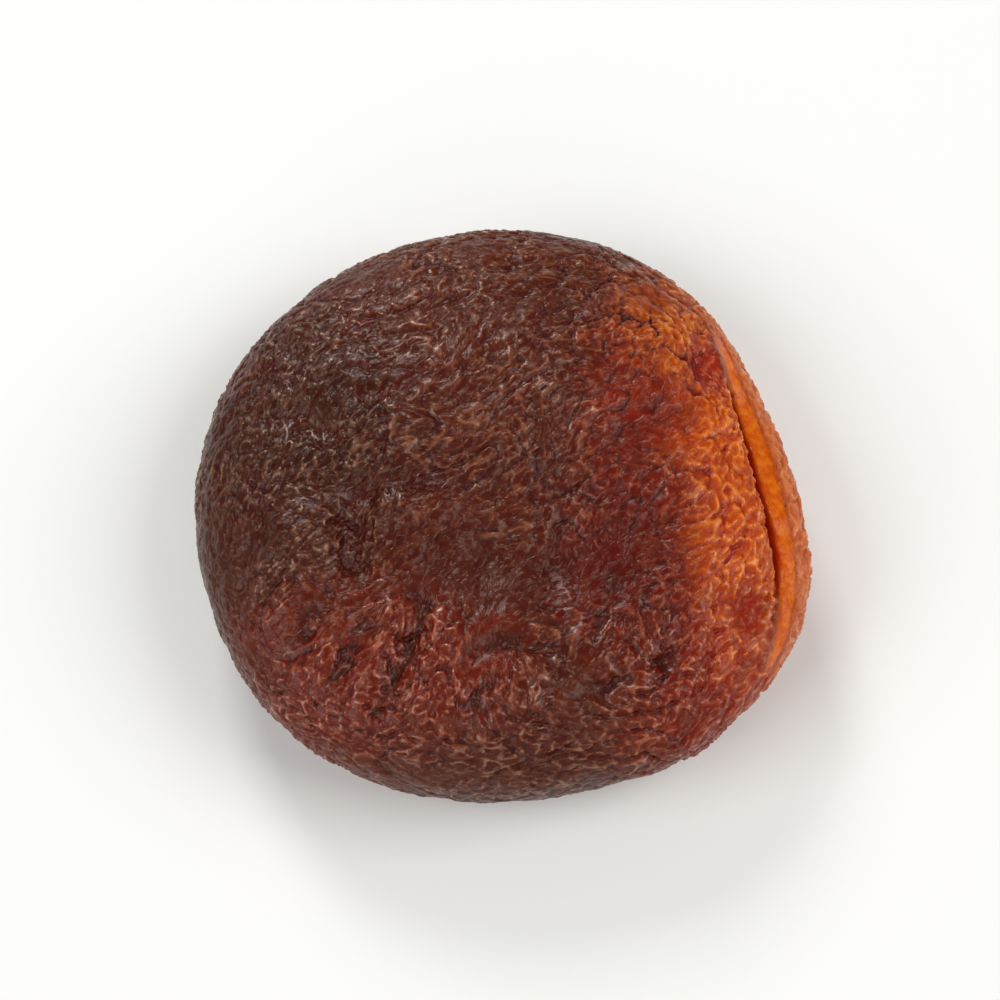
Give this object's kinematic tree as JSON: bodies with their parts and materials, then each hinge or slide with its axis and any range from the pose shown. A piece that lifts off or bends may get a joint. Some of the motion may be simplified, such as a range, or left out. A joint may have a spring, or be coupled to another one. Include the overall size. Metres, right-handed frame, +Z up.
{
  "type": "dried apricot",
  "caption": "Whole pitted dried apricot, a plump wrinkled disc with a stone slit along one side of its rim, lying flat on its lower cheek.",
  "frame": {"origin": "middle of the outline, on the surface that the fruit lies on", "axes": "+Z up out of the upper cheek, +X towards the slit in the rim, -Y towards the front roll"},
  "size_m": [0.038, 0.0384, 0.0124],
  "materials": {
    "apricot_skin": "dark reddish brown dried skin, semi-gloss, finely wrinkled, orange along the slit"
  },
  "bodies": {
    "root": {"apricot": "apricot_skin"}
  },
  "joints": []
}
